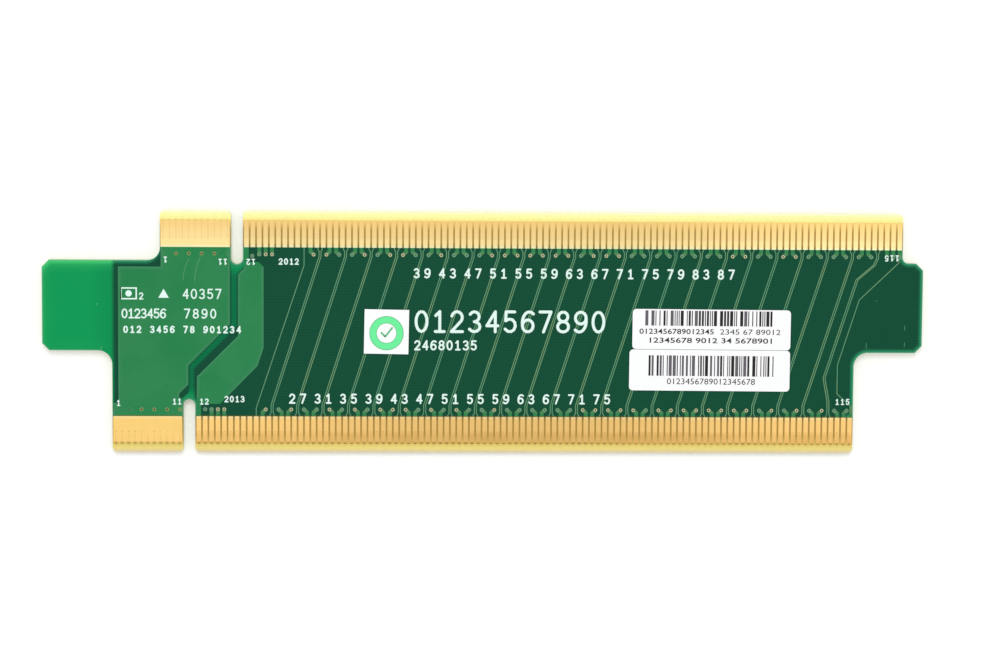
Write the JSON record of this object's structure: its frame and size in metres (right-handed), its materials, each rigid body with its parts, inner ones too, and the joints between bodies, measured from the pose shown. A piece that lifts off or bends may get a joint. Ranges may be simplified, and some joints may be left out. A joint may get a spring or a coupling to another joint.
{
  "type": "pcie riser card",
  "caption": "Flat laminated riser card with a double-sided gold edge connector along each long edge, offset sideways, and a fan of slanted trace pairs between them.",
  "frame": {"origin": "on the surface that the card lies on, under the middle of the card's bounding box", "axes": "+X along the connectors, away from the small tabs; +Y from the lower connector to the upper one; +Z out of the front, which carries the labels"},
  "size_m": [0.1386, 0.0382, 0.0017],
  "materials": {
    "glass_laminate": "woven glass and resin, cut edge",
    "lacquered_laminate": "green solder lacquer, satin gloss",
    "inner_copper": "etched copper foil",
    "gold_plating": "hard gold over nickel, bright",
    "lacquered_copper": "copper under green lacquer",
    "white_label": "smooth coated paper"
  },
  "bodies": {
    "root": {"core_laminate": "glass_laminate", "front_glass_layer": "lacquered_laminate", "back_glass_layer": "lacquered_laminate", "front_supply_plane": "inner_copper", "front_ground_plane": "inner_copper", "back_supply_plane": "inner_copper", "back_ground_plane": "inner_copper", "upper_front_contacts": "gold_plating", "lower_front_contacts": "gold_plating", "upper_back_contacts": "gold_plating", "lower_back_contacts": "gold_plating", "front_supply_copper": "lacquered_copper", "back_supply_copper": "lacquered_copper", "front_return_copper": "lacquered_copper", "back_return_copper": "lacquered_copper", "front_signal_traces": "lacquered_copper", "back_signal_traces": "lacquered_copper", "front_ground_stubs": "lacquered_copper", "back_ground_stubs": "lacquered_copper", "serial_label": "white_label", "stock_label": "white_label", "inspection_label": "white_label"}
  },
  "joints": []
}
